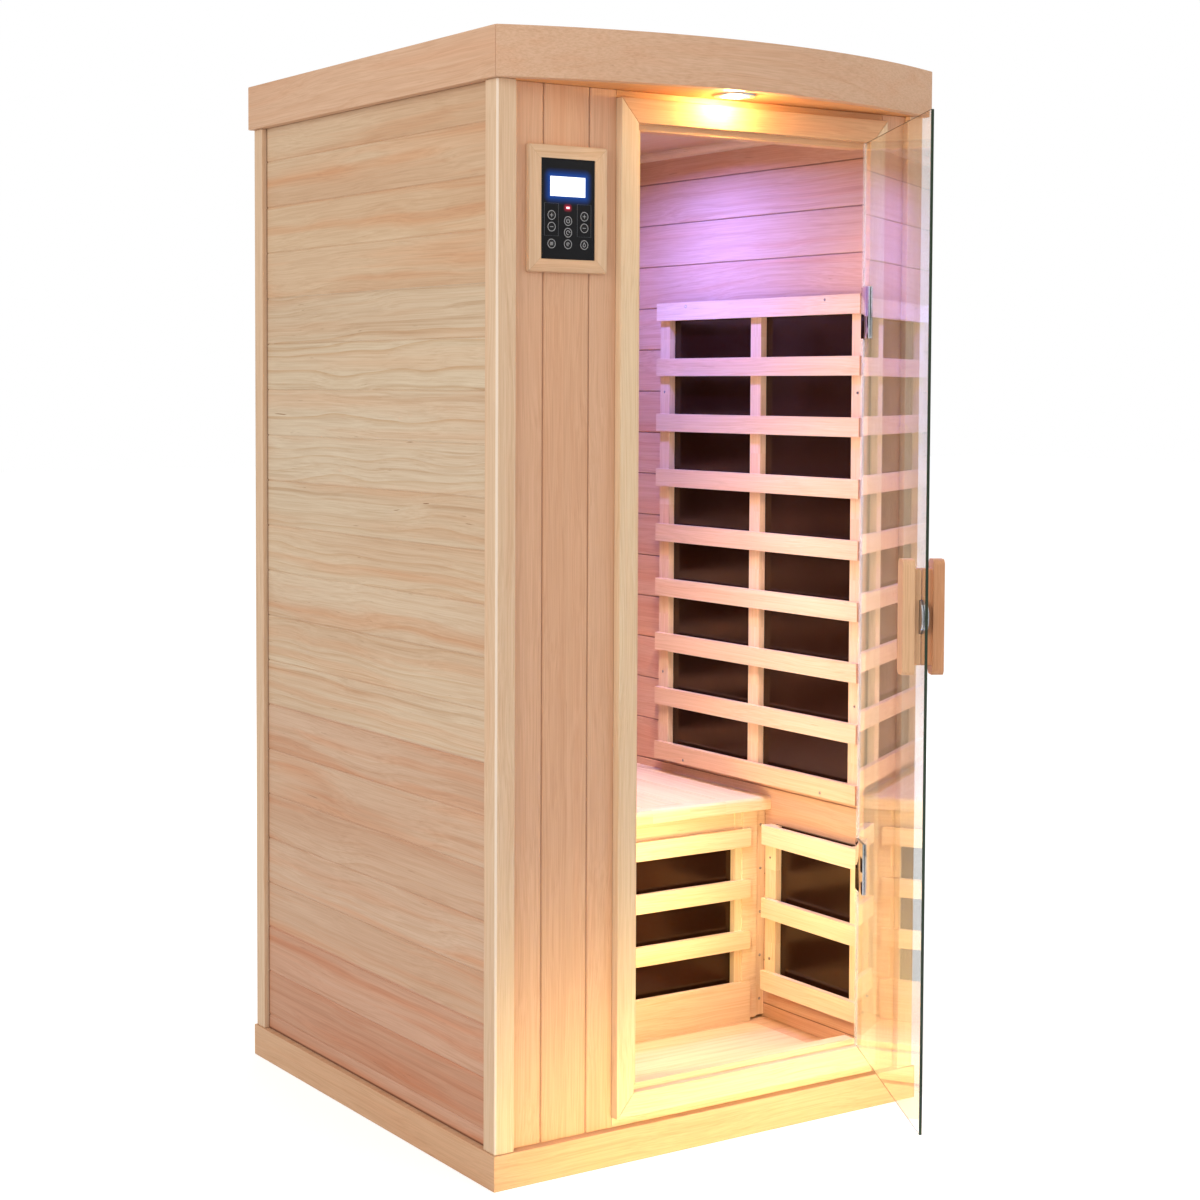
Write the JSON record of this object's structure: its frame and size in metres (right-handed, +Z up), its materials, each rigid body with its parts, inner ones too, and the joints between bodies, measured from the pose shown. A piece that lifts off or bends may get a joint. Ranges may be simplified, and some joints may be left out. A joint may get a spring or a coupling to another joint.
{
  "type": "infrared sauna cabin",
  "caption": "Free-standing one-person infrared sauna cabin in hemlock with a bowed visor, hinged glass door, bench, guarded heater panels and a keypad.",
  "frame": {"origin": "centre of the underside of the floor panel, on the floor", "axes": "+Z up, +X to the right seen from the front, front of the cabin with the door towards -Y"},
  "size_m": [0.93, 1.3688, 1.9],
  "materials": {
    "hemlock": "sanded, unfinished",
    "hemlock_front": "sanded, unfinished",
    "hemlock_pale": "sanded, unfinished",
    "plywood": "plain plywood",
    "heater_film": "satin carbon heater laminate",
    "chrome": "polished",
    "steel": "satin",
    "glass": "clear tempered glass with a green edge",
    "black_plastic": "smooth black fascia",
    "key_plastic": "satin black",
    "display": "lit display window",
    "lens": "frosted diffuser"
  },
  "bodies": {
    "cabin": {"floor_panel": "hemlock", "front_left_post": "hemlock", "front_right_post": "hemlock", "rear_left_post": "hemlock", "rear_right_post": "hemlock", "left_wall_panel": "hemlock", "right_wall_panel": "hemlock", "rear_wall_panel": "hemlock", "door_frame_left": "hemlock", "door_frame_right": "hemlock", "door_frame_head": "hemlock", "door_frame_sill": "hemlock", "visor_fascia": "hemlock", "left_fascia": "hemlock", "right_fascia": "hemlock", "rear_fascia": "hemlock", "visor_soffit": "hemlock", "bench_ledger": "hemlock", "control_bezel": "hemlock", "front_left_panel": "hemlock_front", "front_right_panel": "hemlock_front", "floor_mat": "hemlock_pale", "ceiling_panel": "hemlock_pale", "bench_seat": "hemlock_pale", "bench_front_guard": "hemlock_pale", "right_upper_guard": "hemlock_pale", "right_lower_guard": "hemlock_pale", "left_upper_guard": "hemlock_pale", "left_lower_guard": "hemlock_pale", "rear_guard": "hemlock_pale", "roof_cover": "plywood", "bench_heater": "heater_film", "right_upper_heater": "heater_film", "right_lower_heater": "heater_film", "left_upper_heater": "heater_film", "left_lower_heater": "heater_film", "rear_heater": "heater_film", "upper_hinge_leaf": "chrome", "lower_hinge_leaf": "chrome", "downlight": "steel", "power_supply": "steel", "colour_lamp": "lens", "control_keypad": "black_plastic", "display_window": "display"},
    "door": {"door_glass": "glass", "upper_hinge_clamp": "chrome", "lower_hinge_clamp": "chrome", "inside_pull": "hemlock", "outside_pull": "hemlock", "inside_pull_disc": "steel", "outside_pull_disc": "steel"},
    "key_left_1_body": {"key_left_1": "key_plastic"},
    "key_left_2_body": {"key_left_2": "key_plastic"},
    "key_left_3_body": {"key_left_3": "key_plastic"},
    "key_middle_1_body": {"key_middle_1": "key_plastic"},
    "key_middle_2_body": {"key_middle_2": "key_plastic"},
    "key_middle_3_body": {"key_middle_3": "key_plastic"},
    "key_right_1_body": {"key_right_1": "key_plastic"},
    "key_right_2_body": {"key_right_2": "key_plastic"},
    "key_right_3_body": {"key_right_3": "key_plastic"}
  },
  "joints": [
    {"name": "door_hinge", "type": "hinge", "parent": "cabin", "child": "door", "pos_m": [0.322, -0.4685, 0.958], "axis": [0, 0, 1], "range_deg": [-61.5, 43.5]},
    {"name": "key_left_1_press", "type": "slide", "parent": "cabin", "child": "key_left_1_body", "axis": [0, 1, 0], "range_m": [0, 0.0006], "stiffness_N_per_m": 300, "springref_m": -0.0005},
    {"name": "key_left_2_press", "type": "slide", "parent": "cabin", "child": "key_left_2_body", "axis": [0, 1, 0], "range_m": [0, 0.0006], "stiffness_N_per_m": 300, "springref_m": -0.0005},
    {"name": "key_left_3_press", "type": "slide", "parent": "cabin", "child": "key_left_3_body", "axis": [0, 1, 0], "range_m": [0, 0.0006], "stiffness_N_per_m": 300, "springref_m": -0.0005},
    {"name": "key_middle_1_press", "type": "slide", "parent": "cabin", "child": "key_middle_1_body", "axis": [0, 1, 0], "range_m": [0, 0.0006], "stiffness_N_per_m": 300, "springref_m": -0.0005},
    {"name": "key_middle_2_press", "type": "slide", "parent": "cabin", "child": "key_middle_2_body", "axis": [0, 1, 0], "range_m": [0, 0.0006], "stiffness_N_per_m": 300, "springref_m": -0.0005},
    {"name": "key_middle_3_press", "type": "slide", "parent": "cabin", "child": "key_middle_3_body", "axis": [0, 1, 0], "range_m": [0, 0.0006], "stiffness_N_per_m": 300, "springref_m": -0.0005},
    {"name": "key_right_1_press", "type": "slide", "parent": "cabin", "child": "key_right_1_body", "axis": [0, 1, 0], "range_m": [0, 0.0006], "stiffness_N_per_m": 300, "springref_m": -0.0005},
    {"name": "key_right_2_press", "type": "slide", "parent": "cabin", "child": "key_right_2_body", "axis": [0, 1, 0], "range_m": [0, 0.0006], "stiffness_N_per_m": 300, "springref_m": -0.0005},
    {"name": "key_right_3_press", "type": "slide", "parent": "cabin", "child": "key_right_3_body", "axis": [0, 1, 0], "range_m": [0, 0.0006], "stiffness_N_per_m": 300, "springref_m": -0.0005}
  ]
}
